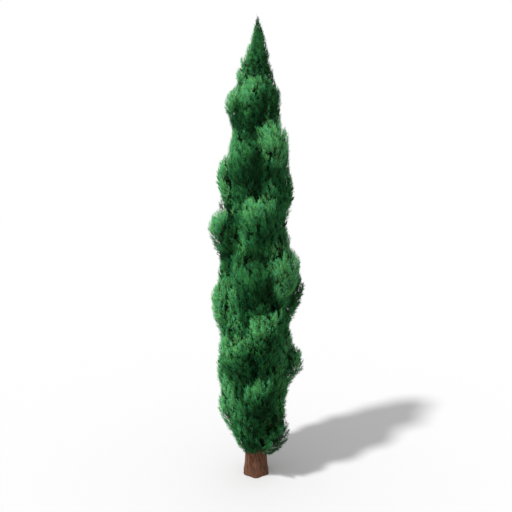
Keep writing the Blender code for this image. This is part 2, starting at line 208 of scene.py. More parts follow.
# The plumes. A pair is for the spire and for the crown's widest part, or the two ends of a range
LEAST_LEAN = (-0.35, -0.3)
MOST_LEAN = 0.95
LEAN_ROUNDS = 4
PLUME_BOW = 0.42
PLUME_LENGTH = (0.24, 0.44)
PLUME_DEPTH = (0.05, 0.2)
PLUME_FOOT = 0.56
PLUME_TOP = 0.12
PLUME_SWAY = 0.14
PLUME_FAN = 0.4
LENGTH_SPREAD = (0.8, 1.2)
FEWEST_IN_RING = 4
TURN_JITTER = 0.35
RISE_JITTER = 0.4
SPIRE_GAP = (0.52, 1.03)
TUFT_PLUME = 0.78
CLOSING_SHARE = 0.5
LEAST_PLUME = 0.65
OVERHANG = (-0.24, -0.12)
LEADER_PLUMES = 11
LEADER_HEIGHTS = (9.46, 9.79)
PATCH_WIDTH = 0.9
PATCH_HEIGHT = 0.42
PATCH_DROP = 0.3
PATCH_JITTER = 20.0
CREST_PLUME = 0.3
CREST_LEAN = (-0.05, 0.3)
CREST_SPAN = 0.75
CREST_DEPTH = 0.1
CREST_SINK = 0.9
FACING_TURN = 7.0
FACING_RISE = 0.09
FACING_SHARE = 0.6
LEAST_RADIUS = 0.02
STEEPEST = 1.1

# The twigs
TWIG_RADIUS = 0.0065
TWIG_TAPER = (1.5, 1.25, 1.0, 0.8, 0.6, 0.35)
TWIG_GIRTHS = (0.55, 1.0)
TWIG_SIDES = 3
TWIG_SHARES = (0.0, 0.25, 0.5, 0.78)
TWIG_FEET = (0.05, 0.95)
TWIG_DROP = 0.2
TWIG_BEND = 0.55
TWIG_LIFT = 0.12

# The sprays on a plume. A pair is for its foot and its tip, or the two ends of a range
SPRAY_SHARES = (0.06, 0.72)
SPRAY_SIZE = (0.5, 0.36)
SPRAY_DIVERGENCE = (0.62, 0.24)
SPRAY_WRAP = 2.2
SPRAY_ROLL = 0.7
SPRAY_LIFT = 0.12
SPRAY_JITTER = 0.8
WRAP_JITTER = 0.25
SIZE_SPREAD = (0.85, 1.15)
MOST_SPRAYS = 3600

# The branchlets of a spray. A pair is for its foot and its tip
BLADE_BELLY = 0.55
BLADE_TWIST = 0.2
BRANCHLETS = 6
BRANCHLET_FEET = (0.04, 0.84)
BRANCHLET_LENGTHS = (0.56, 0.26)
BRANCHLET_TURNS = (0.62, 0.4)
BRANCHLET_TILT = 0.3
FOOT_STRAY = 0.03
TURN_STRAY = 0.12
TILT_STRAY = 0.15
SHOOT_FOOT = 0.42
SHOOT_LENGTH = 0.5
SHOOT_WIDTH = 0.9
SHOOT_TURN = 0.1
SPRAY_BOW = 0.16
SPRAY_KINDS = 6

# The sprays inside the crown. A layer is (share of the way out into the tufts, how far its step widens)
INNER_BRANCHLETS = 5
INNER_WIDTH = 0.13
INNER_LENGTH = (0.21, 0.32)
INNER_DEPTH = (0.03, 0.15)
DEPTH_SPREAD = (0.5, 1.5)
INNER_TURN = 4.0
INNER_ROLL = 1.2
INNER_INSET = 0.25
INNER_ON_TUFT = 58
INNER_TUFT_SHARES = (0.2, 1.0)
INNER_TUFT_HEIGHTS = (-0.9, 0.8)
INNER_LEAN = (-0.1, 0.2)
INNER_SWAY = 0.3
INNER_TOP = 0.3
INNER_LAYERS = ((1.0, 1.0), (0.6, 1.2), (0.2, 1.6))
FEWEST_INNER = 7
INNER_JITTER = 0.4
INNER_RADIUS = 0.01
MOST_INNER_SPRAYS = 6000

# How light a green each spray has, with painted sunlight, painted shade and a painted rim light
FULL_REACH = 0.2
FULL_SHARE = 0.55
COLUMN_LIGHTS = (0.43, -0.25)
# Painted sunlight on the column's sunward side, at its foot and at its tip
PAINTED_SUNWARD_LIGHTS = (0.32, 0.5)
# Painted rim light on the column's far shaded edge, and how closely it keeps to that edge
PAINTED_RIM_LIGHT = 0.2
PAINTED_RIM_CURVE = 4
FOOT_LIGHT = 0.15
FOOT_HEIGHT = 3.0
LIGHT_CURVE = 3
# Painted sunlight and painted shade by how a place faces the sun against the bare column: the gain, its
# limits, and how far above a spray's tip the facing is taken
PAINTED_SUN_GAIN = 1.4
PAINTED_SUN_LIMITS = (-0.27, 0.38)
PAINTED_SUN_LIFT = 0.08
# Painted shade in the creases round the tufts: the steps beside, below and above at which a crease is
# measured, its most depth, and how much darker the green gets per metre of it
CREASE_TURN = 12.0
CREASE_RISE = 0.14
CREASE_DEPTH = 0.08
PAINTED_CREASE_SHADE = 2.4
TIP_LIGHT = 0.16
PLUME_SPREAD = 0.08
SPRAY_SPREAD = 0.06
GREEN_AT = {"dark": 0.0, "mid": 0.45, "light": 0.85}
SHADES = {"dark": (0.0, 0.2), "mid": (0.37, 0.52), "light": (0.68, 0.85)}
TINTS = ((1.12, 1.0, 0.88), (0.92, 1.0, 1.14))

# The finishes. A finish is (roughness, specular level), a noise (scale along each axis, detail), and a bump
# (distance, strength). Where a noise gives the roughness, its range takes the place of the finish's own
NOISE_RANGE = (0.3, 0.7)
LEAF_FINISH = (0.6, 0.06)
LEAF_ROUGHNESS = (0.5, 0.72)
SCALES_PER_METRE = 420.0
SCALE_BUMP = (0.0008, 0.5)
WAX_NOISE = ((26.0, 26.0, 26.0), 3.0)
BARK_FINISH = (0.85, 0.2)
BARK_ROUGHNESS = (0.78, 0.95)
STRIP_NOISE = ((60.0, 60.0, 4.5), 4.0)
FIBRE_NOISE = ((240.0, 240.0, 10.0), 3.0)
WEATHER_NOISE = ((14.0, 14.0, 3.0), 3.0)
SHADE_OF_RELIEF = (0.5, -0.17)
SHADE_OF_STRIPS = 0.45
SHADE_OF_FIBRES = 0.6
SHADE_PLACES = (0.3, 0.58, 0.85)
RIDGE_SHADES = (0.62, 1.35)
GREY_CAST = (1.75, 1.1, 0.75)
GREY_SHARES = (0.0, 0.35)
GRAIN_OF_STRIPS = 0.7
GRAIN_BUMP = (0.007, 1.0)

# The stage
SUNWARD = (-0.55, -0.385, 1.0)
FLOOR_SIZE = 400.0
FLOOR_FINISH = (1.0, 0.0)
CAMERA_PLACE = (0.0, -9.693, 6.053)
CAMERA_SENSOR = 36.0
CAMERA_LENS = 31.18
CAMERA_REACH = 1000.0


def mix(ends, share):
    """A share of the way from the first end to the second."""
    return ends[0] + (ends[1] - ends[0]) * share


def either_way(dice, most, count=None):
    """Random numbers from -most to most."""
    return dice.uniform(-most, most, count)


def unit(vectors):
    return vectors / np.linalg.norm(vectors, axis=-1, keepdims=True)


def outwards(bearing):
    """Unit vectors away from the trunk's axis at these bearings."""
    turn = np.radians(bearing)
    return np.stack((np.sin(turn), -np.cos(turn), np.zeros_like(turn)), axis=-1)


def on_circle(bearing, radius, height):
    """Points at these bearings and distances from the crown's axis, which leans a little at the spire."""
    axis = UP * height[..., None] + SPIRE_LEAN * np.interp(height, LEAN_HEIGHTS, (0.0, 1.0))[..., None]
    return outwards(bearing) * radius[..., None] + axis


OUTLINE_HEIGHTS, OUTLINE_RADII = np.array(CROWN_OUTLINE).T


def column_radius(height):
    """The column's radius at a height, without its tufts."""
    return np.interp(height, OUTLINE_HEIGHTS, OUTLINE_RADII)


def girth_share(height):
    """How full the column is at a height, from 0 at its tip to 1 at its widest."""
    return column_radius(height) / OUTLINE_RADII.max()


# Each tuft's half width, and how far it reaches above and below its fullest point
TUFT_BEARINGS, TUFT_HEIGHTS, TUFT_REACHES, TUFT_TONES = np.array(TUFTS, dtype=float).T
TUFT_COLUMNS = column_radius(TUFT_HEIGHTS)
TUFT_WIDTHS = TUFT_SPREAD * TUFT_COLUMNS + TUFT_EDGE
TUFT_TURNS = np.degrees(TUFT_WIDTHS / TUFT_COLUMNS)
TUFT_SCALES = mix(TUFT_SIZES, girth_share(TUFT_HEIGHTS))
TUFT_RISES = TUFT_RISE * TUFT_SCALES
TUFT_DROPS = np.array([SHORT_DROPS.get(number, TUFT_DROP) for number in range(len(TUFTS))]) * TUFT_SCALES


def reach_of_tufts(bearing, height):
    """How far each tuft stands out of the column at these places, one column for each tuft."""
    turn = np.radians((bearing[..., None] - TUFT_BEARINGS + 180.0) % 360.0 - 180.0)
    aside = (turn * column_radius(height)[..., None] / TUFT_WIDTHS) ** 2
    rise = height[..., None] - TUFT_HEIGHTS
    across = np.clip(1.0 - aside, 0.0, None)
    above = np.sqrt(across * np.clip(1.0 - (rise / TUFT_RISES) ** 2, 0.0, None))
    below = np.sqrt(across) * np.clip(1.0 - (rise / TUFT_DROPS) ** 2, 0.0, None)
    return TUFT_REACHES * np.where(rise > 0.0, above, below)


def crown_radius(bearing, height):
    """The distance from the axis to the crown's surface, tufts included."""
    return column_radius(height) + reach_of_tufts(bearing, height).max(axis=-1)


def facing_of(bearing, height):
    """The way that the crown's surface faces at these places, tufts included."""
    radius = crown_radius(bearing, height)
    turn = crown_radius(bearing + FACING_TURN, height) - crown_radius(bearing - FACING_TURN, height)
    rise = crown_radius(bearing, height + FACING_RISE) - crown_radius(bearing, height - FACING_RISE)
    arc = 2 * math.radians(FACING_TURN) * np.maximum(radius, LEAST_RADIUS)
    around = np.clip(turn / arc, -STEEPEST, STEEPEST)
    upwards = np.clip(rise / (2 * FACING_RISE), -STEEPEST, STEEPEST)
    out = outwards(bearing)
    return unit(out - np.cross(UP, out) * around[:, None] - UP * upwards[:, None])


def crease_at(bearing, height):
    """How far the crown's surface lies back from what is beside, above and below it."""
    near = [
        crown_radius(bearing + turn, height + rise)
        for turn, rise in ((-CREASE_TURN, 0.0), (CREASE_TURN, 0.0), (0.0, -CREASE_RISE), (0.0, CREASE_RISE))
    ]
    return np.clip(np.mean(near, axis=0) - crown_radius(bearing, height), 0.0, CREASE_DEPTH)


def trunk_radius(height, bearing=0.0):
    """The trunk's radius: a taper to the tip, a flare at the ground, and shallow ribs on the flare."""
    taper = max(0.0, 1.0 - height / TRUNK_TOP) ** TRUNK_TAPER
    flare = math.exp(-height / FLARE_HEIGHT)
    ribs = 1.0 + mix(RIB_DEPTH, flare) * math.cos(math.radians(bearing * FLARE_RIBS))
    return max(TRUNK_TIP_RADIUS, (TRUNK_RADIUS * taper + FLARE_REACH * flare) * ribs)


# The point that each mass grows round: one for every tuft, and one on the trunk's axis for the spire
HEARTS = np.vstack((on_circle(TUFT_BEARINGS, HEART_SHARE * TUFT_COLUMNS, TUFT_HEIGHTS), UP * SPIRE_HEART))
SPIRE = len(TUFTS)
NODES = [f"foliage_mass_{number + 1:02d}" for number in range(SPIRE)] + ["foliage_spire"]


def mass_at(bearing, height):
    """The mass whose heart lies nearest, at the depth of the hearts."""
    places = on_circle(bearing, HEART_SHARE * column_radius(height), height)
    away = np.linalg.norm(places[:, None, :] - HEARTS, axis=-1)
    return away.argmin(axis=1)


def room_in_space(point, number):
    """How far the point lies inside the flat walls between one mass's heart and all the others."""
    own, others = HEARTS[number], np.delete(HEARTS, number, axis=0)
    away = unit(others - own)
    return (((own + others) / 2 - point) * away).sum(axis=1).min()


def bough_foot(number):
    """Where a bough starts in the trunk: as low as the mass's own space leaves room for it."""
    if number == SPIRE:
        return UP * (SPIRE_FOOT - STEM_RISES[0])
    height = TUFT_HEIGHTS[number]
    feet = []
    for rise in STEM_RISES:
        for turn in STEM_TURNS:
            bearing, level = TUFT_BEARINGS[number] + turn, height - rise
            out, radius = outwards(np.float64(bearing)), trunk_radius(level, bearing)
            room = min(room_in_space(out * radius + UP * level, number), STEM_ROOM)
            foot = out * max(radius - BOUGH_SEAT, 0.0) + UP * level
            feet.append((room + WORTH_OF_RISE * rise, tuple(foot)))
    return np.array(max(feet)[1])


def bough_points(number, shares):
    """Points along a bough from inside the trunk, under the mass's heart and up to its crest."""
    if number == SPIRE:
        height = bough_foot(number)[2] + (TREE_HEIGHT - SPIRE_FOOT) * np.asarray(shares)
        return on_circle(0 * height, 0 * height, height)
    bearing, middle = TUFT_BEARINGS[number], TUFT_HEIGHTS[number]
    crest_height = np.array([middle + BOUGH_CREST])
    radius = column_radius(crest_height)
    foot, crest = bough_foot(number), on_circle(np.array([bearing]), radius, crest_height)[0]
    s = np.asarray(shares)[:, None]
    return (1 - s) ** 2 * foot + 2 * s * (1 - s) * HEARTS[number] + s**2 * crest


def earned(count, reach, least=0.0):
    """How many plumes or sprays a tuft's reach earns it, where a full tuft has this count."""
    return round(count * min(MOST_EARNED, least + reach / FULL_TUFT))


def even_shares(count):
    """How far out of a disc's middle each place is, so that they fill it evenly."""
    return np.sqrt((np.arange(count) + 0.5) / max(1, count))


def ring_bearings(row, height, gap, fewest, jitter, dice):
    """Bearings a gap apart round the column, in a ring that is turned from the one below it."""
    count = max(fewest, round(2 * math.pi * column_radius(height) / gap))
    return 360.0 * (np.arange(count) + either_way(dice, jitter, count)) / count + row * GOLDEN_TURN


def joined_places(bearings, heights):
    """(bearings, heights) in one array each, none lower than the lowest plume may stand."""
    return np.array((np.concatenate(bearings), np.clip(np.concatenate(heights), PLUME_FOOT, None)))


class Plumes:
    """All the plumes of the crown, as arrays with a row for each."""

    def __init__(self, growth):
        self.dice = np.random.default_rng(growth.seed)
        rings = self.rings(growth.ring_step, growth.plume_gap)
        places = np.hstack((rings, self.on_tufts(growth.plumes_on_tuft), self.leader()))
        self.bearing, self.height = places
        self.count = len(self.bearing)
        full = girth_share(self.height)
        grown = np.where(np.arange(self.count) < rings.shape[1], 1.0, TUFT_PLUME)
        length = mix(PLUME_LENGTH, full) * grown * self.dice.uniform(*LENGTH_SPREAD, self.count)
        surface = crown_radius(self.bearing, self.height)
        closing = crown_radius(self.bearing, self.height + length) - surface
        self.length = length * np.clip(1.0 + CLOSING_SHARE * closing / length, LEAST_PLUME, 1.0)
        trunk = np.array([trunk_radius(height) for height in self.height])
        self.radius = np.maximum(surface - mix(PLUME_DEPTH, full), trunk)
        overhang = self.length * self.dice.uniform(*OVERHANG, self.count) * full
        self.lean = self.lean_to_surface(overhang)
        self.add_crests(growth.crest_plumes)
        self.out = outwards(self.bearing)
        self.side = np.cross(UP, self.out)
        self.facing = facing_of(self.bearing, self.height + FACING_SHARE * self.length * np.cos(self.lean))
        aside = (self.facing * self.side).sum(axis=1)
        self.sway = either_way(self.dice, PLUME_SWAY, self.count) + PLUME_FAN * aside
        self.mass = mass_at(self.bearing, self.height)

    def rings(self, step, gap):
        """Places in staggered rings up the crown, a gap apart in each."""
        bearings, heights = [], []
        for row in range(int((TREE_HEIGHT - PLUME_TOP - PLUME_FOOT) / step)):
            height = PLUME_FOOT + row * step
            own_gap = gap * mix(SPIRE_GAP, girth_share(height))
            ring = ring_bearings(row, height, own_gap, FEWEST_IN_RING, TURN_JITTER, self.dice)
            bearings.append(ring)
            heights.append(height + either_way(self.dice, RISE_JITTER, len(ring)) * step)
        return joined_places(bearings, heights)

    def on_tufts(self, count):
        """More places in a patch on each tuft, as many as its reach earns it."""
        bearings, heights = [], []
        for (bearing, middle, reach, _), half_turn in zip(TUFTS, TUFT_TURNS):
            number = earned(count, reach, LEAST_EARNED)
            out = even_shares(number)
            turn = np.radians(np.arange(number) * GOLDEN_TURN + either_way(self.dice, PATCH_JITTER, number))
            bearings.append(bearing + half_turn * PATCH_WIDTH * out * np.sin(turn))
            heights.append(middle - PATCH_DROP + PATCH_HEIGHT * out * np.cos(turn))
        return joined_places(bearings, heights)

    def add_crests(self, count):
        """Upright plumes that close the top of each tuft, between the column and the tuft's outer side."""
        grown = [np.array((self.bearing, self.height, self.length, self.radius, self.lean))]
        for (bearing, middle, reach, _), half_turn, rise in zip(TUFTS, TUFT_TURNS, TUFT_RISES):
            number = earned(count, reach)
            out = even_shares(number)
            aside = either_way(self.dice, CREST_SPAN, number)
            dome = np.sqrt(np.clip(1.0 - out**2, 0.0, 1.0) * (1.0 - aside**2))
            size = mix(TUFT_SIZES, girth_share(middle))
            length = CREST_PLUME * self.dice.uniform(*LENGTH_SPREAD, number) * size
            height = middle + rise * dome - CREST_SINK * length
            beyond = (reach * out * CREST_SPAN - CREST_DEPTH) * np.sqrt(1.0 - aside**2)
            radius = column_radius(height) + beyond
            lean = mix(CREST_LEAN, out)
            grown.append(np.array((bearing + half_turn * aside, height, length, radius, lean)))
        self.bearing, self.height, self.length, self.radius, self.lean = np.hstack(grown)
        self.count = len(self.bearing)

    def leader(self):
        """Places for the plumes that close the spire at its tip."""
        n = np.arange(LEADER_PLUMES)
        return np.array((n * GOLDEN_TURN, mix(LEADER_HEIGHTS, n / (LEADER_PLUMES - 1))))

    def lean_to_surface(self, overhang):
        """The mean lean from upright at which each plume ends on the crown's surface."""
        least = mix(LEAST_LEAN, girth_share(self.height))
        lean = least
        for _ in range(LEAN_ROUNDS):
            tip = crown_radius(self.bearing, self.height + self.length * np.cos(lean)) + overhang
            slope = np.clip((tip - self.radius) / self.length, np.sin(least), math.sin(MOST_LEAN))
            lean = np.arcsin(slope)
        return lean

    def at(self, share):
        """(points, directions) at a share of each plume, which bows from a wider lean to an upright tip."""
        share = np.broadcast_to(share, (self.count,))
        start = self.lean + PLUME_BOW / 2
        here = start - PLUME_BOW * share
        across = (np.cos(here) - np.cos(start)) / PLUME_BOW
        up = (np.sin(start) - np.sin(here)) / PLUME_BOW
        bend = self.length[:, None] * self.vectors(across, up, self.sway * share**2)
        way = self.vectors(np.sin(here), np.cos(here), 2 * self.sway * share)
        return on_circle(self.bearing, self.radius, self.height) + bend, unit(way)

    def vectors(self, out, up, side):
        """Vectors that reach so far away from the axis, up, and to one side."""
        return self.out * out[:, None] + UP * up[:, None] + self.side * side[:, None]


def tubes(paths, radii, sides):
    """(points, faces) of one tapering tube along each path, closed by a fan at its first and last point."""
    count, rings, _ = paths.shape
    ways = np.gradient(paths, axis=1)
    ways = unit(ways + NUDGE * UP)
    helper = np.where(np.abs(ways[..., 2:3]) > UPRIGHT, np.array((1.0, 0.0, 0.0)), UP)
    first = unit(np.cross(ways, helper))
    second = np.cross(ways, first)
    turns = 2 * math.pi * np.arange(sides) / sides
    rim = first[:, :, None, :] * np.cos(turns)[:, None] + second[:, :, None, :] * np.sin(turns)[:, None]
    skin = paths[:, :, None, :] + rim * radii[:, :, None, None]
    points = np.concatenate((skin.reshape(count, rings * sides, 3), paths[:, :1], paths[:, -1:]), axis=1)
    faces = []
    for ring in range(rings - 1):
        for n in range(sides):
            low, after = ring * sides + n, ring * sides + (n + 1) % sides
            faces.append((low, low + sides, after))
            faces.append((after, low + sides, after + sides))
    last = (rings - 1) * sides
    for n in range(sides):
        after = (n + 1) % sides
        faces.append((n, after, rings * sides))
        faces.append((last + after, last + n, rings * sides + 1))
    return points, np.array(faces)


def as_object(name, points, faces, greens=None):
    """A smooth object of copies of a shape: points is (copies, points, 3), greens each copy's material."""
    copies, size, _ = points.shape
    corners = faces + (np.arange(copies) * size)[:, None, None]
    mesh = bpy.data.meshes.new(name)
    mesh.from_pydata(points.reshape(-1, 3), [], corners.reshape(-1, 3), shade_flat=False)
    if greens is not None:
        mesh.polygons.foreach_set("material_index", np.repeat(greens, len(faces)).astype(np.int32))
    obj = bpy.data.objects.new(name, mesh)
    bpy.context.scene.collection.objects.link(obj)
    return obj


def select_none():
    bpy.ops.object.select_all(action="DESELECT")


def branchlet():
    """(points, faces) of one branchlet of unit length and width along +Y: a slim four-faced blade."""
    select_none()
    bpy.ops.mesh.primitive_cone_add(vertices=3, radius1=1.0, radius2=0.0, depth=1.0, end_fill_type="NGON")
    blade = bpy.context.object
    points = np.array([vertex.co[:] for vertex in blade.data.vertices])
    blade.data.calc_loop_triangles()
    faces = np.array([triangle.vertices[:] for triangle in blade.data.loop_triangles])
    bpy.data.meshes.remove(blade.data)
    foot, tip = points[:, 1].argmax(), points[:, 2].argmax()
    left, right = points[:, 0].argmin(), points[:, 0].argmax()
    points[foot] = (0.0, 0.0, 0.0)
    points[tip] = (0.0, 1.0, 0.0)
    points[left] = (-0.5, BLADE_BELLY, BLADE_TWIST)
    points[right] = (0.5, BLADE_BELLY, -BLADE_TWIST)
    return points, faces if is_outward(points, faces) else faces[:, ::-1]


def is_outward(points, faces):
    """Whether the faces wind so that their normals point out of the shape."""
    a, b, c = points[faces].transpose(1, 0, 2)
    return (np.cross(b - a, c - a) * (a - points.mean(axis=0))).sum() > 0.0


def way_of(turn, tilt):
    """The way of a branchlet that is turned to one side and tilted up or down."""
    return np.array((math.sin(turn), math.cos(turn), math.sin(tilt)))


def placed(points, foot, turn, tilt, length, width):
    """A branchlet's points with its foot at a place on the spray, turned to one side and tilted."""
    across = np.array((math.cos(turn), -math.sin(turn), 0.0))
    along = unit(way_of(turn, tilt))
    normal = np.cross(across, along)
    shaped = points * np.array((width, length, width))
    return foot + shaped @ np.array((across, along, normal))


def spray_kinds(branchlets, width, with_shoots, dice):
    """(points of each kind, faces) of sprays of unit length, with a branchlet on either side by turns."""
    points, faces = branchlet()
    kinds = []
    for _ in range(SPRAY_KINDS):
        parts = [placed(points, np.zeros(3), 0.0, 0.0, 1.0, width)]
        for n in range(branchlets):
            share = (n + 0.5) / branchlets
            foot = np.array((0.0, mix(BRANCHLET_FEET, share) + either_way(dice, FOOT_STRAY), 0.0))
            length = mix(BRANCHLET_LENGTHS, share) * dice.uniform(*SIZE_SPREAD)
            turn = (mix(BRANCHLET_TURNS, share) + either_way(dice, TURN_STRAY)) * (-1) ** n
            tilt = BRANCHLET_TILT * (-1) ** (n // 2) + either_way(dice, TILT_STRAY)
            parts.append(placed(points, foot, turn, tilt, length, width))
            if with_shoots:
                fork = foot + SHOOT_FOOT * length * way_of(turn, tilt)
                size = (length * SHOOT_LENGTH, width * SHOOT_WIDTH)
                parts.append(placed(points, fork, turn * SHOOT_TURN, -tilt, *size))
        kind = np.concatenate(parts)
        kind[:, 2] -= SPRAY_BOW * kind[:, 1] ** 2
        kinds.append(kind)
    joined = np.concatenate([faces + len(points) * n for n in range(len(parts))])
    return np.array(kinds), joined


def frames_of(along, out, roll):
    """(across, along, normal) of blades that point along and are rolled about that way from facing out."""
    flat = unit(np.cross(along, out))
    face = np.cross(flat, along)
    across = flat * np.cos(roll)[:, None] + face * np.sin(roll)[:, None]
    return np.stack((across, along, np.cross(across, along)), axis=1)


def stand_up(kinds, kind, root, frames, size):
    """The points of a spray of its kind on every root, in its frame and at its size."""
    return root[:, None, :] + size[:, None, None] * np.einsum("npk,nkj->npj", kinds[kind], frames)


def in_parts(rows, most):
    """(number, rows) of each of the equal parts that hold at most so many rows, numbered from 1."""
    return enumerate(np.array_split(rows, math.ceil(len(rows) / most)), start=1)


class Sprays:
    """All the sprays on the plumes, as arrays with a row for each."""

    def __init__(self, plumes, growth):
        dice, count = plumes.dice, plumes.count
        each = growth.sprays_per_plume
        grown = []
        for n in range(each + 1):
            if n < each:
                share = mix(SPRAY_SHARES, (n + dice.uniform(0, SPRAY_JITTER, count)) / each)
                spread = mix(SPRAY_DIVERGENCE, share)
            else:
                share = np.full(count, SPRAY_SHARES[1])
                spread = np.zeros(count)
            point, way = plumes.at(share)
            turn = SPRAY_WRAP * (2 * ((n * GOLDEN_SHARE + dice.uniform(0, WRAP_JITTER, count)) % 1.0) - 1)
            near = unit(plumes.facing - way * (plumes.facing * way).sum(axis=1, keepdims=True))
            far = np.cross(way, near)
            aside = near * np.cos(turn)[:, None] + far * np.sin(turn)[:, None]
            along = unit(way * np.cos(spread)[:, None] + aside * np.sin(spread)[:, None] + UP * SPRAY_LIFT)
            frame = frames_of(along, plumes.facing, either_way(dice, SPRAY_ROLL, count))
            size = plumes.length * mix(SPRAY_SIZE, share) * dice.uniform(*SIZE_SPREAD, count)
            grown.append((point, frame, size, share))
        self.root, self.frame, self.size, self.share = (np.concatenate(rows) for rows in zip(*grown))
        self.mass = np.tile(plumes.mass, each + 1)
        self.bearing = np.tile(plumes.bearing, each + 1)
        self.count = len(self.root)
        self.plumes = count

    def lightness(self, dice):
        """From 0 to 1, how light a green each spray has.

        The column is lightest at its foot. Painted sunlight makes it lighter on its sunward side, and a
        painted rim light makes its far shaded edge lighter. Each tuft has a tone of its own. Painted
        sunlight makes a tuft's top, which faces the sun, lighter than the column, while painted shade
        darkens its underside and the creases round it. A plume's tip is lighter than its foot, and one
        plume than the next.
        """
        height = self.root[:, 2]
        reach = reach_of_tufts(self.bearing, height)
        tuft = reach.argmax(axis=1)
        full = FULL_SHARE * np.maximum(FULL_REACH, TUFT_REACHES[tuft])
        tone = TUFT_TONES[tuft] * np.clip(reach.max(axis=1) / full, 0.0, 1.0)
        tip = self.root + self.size[:, None] * self.frame[:, 1]
        bearing = np.degrees(np.arctan2(tip[:, 0], -tip[:, 1]))
        # Painted sunlight and painted shade: lighter where the crown faces the sun more than the bare
        # column, darker where it faces it less, as on the tufts' undersides
        sunward = unit(np.array(SUNWARD))
        here = np.maximum(facing_of(bearing, tip[:, 2] + PAINTED_SUN_LIFT) @ sunward, 0.0)
        flat = np.maximum(outwards(bearing) @ sunward, 0.0)
        # Painted shade in the creases is taken off this painted sunlight and shade
        sun = np.clip(PAINTED_SUN_GAIN * (here - flat), *PAINTED_SUN_LIMITS) - PAINTED_CREASE_SHADE * crease_at(bearing, tip[:, 2])
        own = np.tile(either_way(dice, 1.0, self.plumes), self.count // self.plumes)
        each = either_way(dice, 1.0, self.count)
        curve = (height / TREE_HEIGHT) ** LIGHT_CURVE
        right = np.sin(np.radians(bearing))
        # Painted sunlight on the column's sunward side
        side = mix(PAINTED_SUNWARD_LIGHTS, curve) * np.maximum(-right, 0.0)
        # Painted rim light on the column's far shaded edge
        side += PAINTED_RIM_LIGHT * np.maximum(right, 0.0) ** PAINTED_RIM_CURVE
        foot = FOOT_LIGHT * np.maximum(1.0 - height / FOOT_HEIGHT, 0.0)
        column = mix(COLUMN_LIGHTS, curve) + side + foot
        return column + tone + sun + TIP_LIGHT * self.share + PLUME_SPREAD * own + SPRAY_SPREAD * each


def green_at(greens, lightness, cast):
    """The plain green of a lightness, between the three greens of the panel, with a warm or cool cast."""
    anchors = list(GREEN_AT.values())
    colours = np.array([getattr(greens, name) for name in GREEN_AT])
    mixed = [np.interp(lightness, anchors, colours[:, channel]) for channel in range(3)]
    return tuple(np.array(mixed) * np.array(cast))


def principled(name, colour, roughness, specular):
    """(material, nodes, links, shader) of a new material with plain values."""
    made = bpy.data.materials.new(name)
    made.use_nodes = True
    nodes, links = made.node_tree.nodes, made.node_tree.links
    shader = nodes["Principled BSDF"]
    shader.inputs["Base Color"].default_value = (*colour, 1.0)
    shader.inputs["Roughness"].default_value = roughness
    shader.inputs["Specular IOR Level"].default_value = specular
    return made, nodes, links, shader


def stretched_noise(nodes, links, scale, detail):
    """The values of a noise on object coordinates, with its own scale along each axis."""
    place = nodes.new("ShaderNodeTexCoord")
    mapping = nodes.new("ShaderNodeMapping")
    mapping.inputs["Scale"].default_value = scale
    grain = nodes.new("ShaderNodeTexNoise")
    grain.inputs["Scale"].default_value = 1.0
    grain.inputs["Detail"].default_value = detail
    links.new(place.outputs["Object"], mapping.inputs["Vector"])
    links.new(mapping.outputs["Vector"], grain.inputs["Vector"])
    return grain.outputs["Fac"]


def map_range(nodes, links, source, low, high):
    """A noise's usual values, spread from low to high."""
    ranged = nodes.new("ShaderNodeMapRange")
    for name, value in zip(("From Min", "From Max", "To Min", "To Max"), (*NOISE_RANGE, low, high)):
        ranged.inputs[name].default_value = value
    links.new(source, ranged.inputs["Value"])
    return ranged.outputs["Result"]


def bump(nodes, links, shader, source, distance, strength):
    bumped = nodes.new("ShaderNodeBump")
    bumped.inputs["Distance"].default_value = distance
    bumped.inputs["Strength"].default_value = strength
    links.new(source, bumped.inputs["Height"])
    links.new(bumped.outputs["Normal"], shader.inputs["Normal"])


def scale_leaves(name, colour):
    """Branchlets clad in scale leaves: one plain green, with fine bumps and a waxy uneven gloss."""
    made, nodes, links, shader = principled(name, colour, *LEAF_FINISH)
    scales = nodes.new("ShaderNodeTexVoronoi")
    scales.inputs["Scale"].default_value = SCALES_PER_METRE
    place = nodes.new("ShaderNodeTexCoord")
    links.new(place.outputs["Object"], scales.inputs["Vector"])
    bump(nodes, links, shader, scales.outputs["Distance"], *SCALE_BUMP)
    wax = stretched_noise(nodes, links, *WAX_NOISE)
    links.new(map_range(nodes, links, wax, *LEAF_ROUGHNESS), shader.inputs["Roughness"])
    return made


def multiply_add(nodes, links, source, factor, added):
    """source * factor + added, where added is a socket or a number."""
    made = nodes.new("ShaderNodeMath")
    made.operation = "MULTIPLY_ADD"
    links.new(source, made.inputs[0])
    made.inputs[1].default_value = factor
    if isinstance(added, float):
        made.inputs[2].default_value = added
    else:
        links.new(added, made.inputs[2])
    return made.outputs[0]


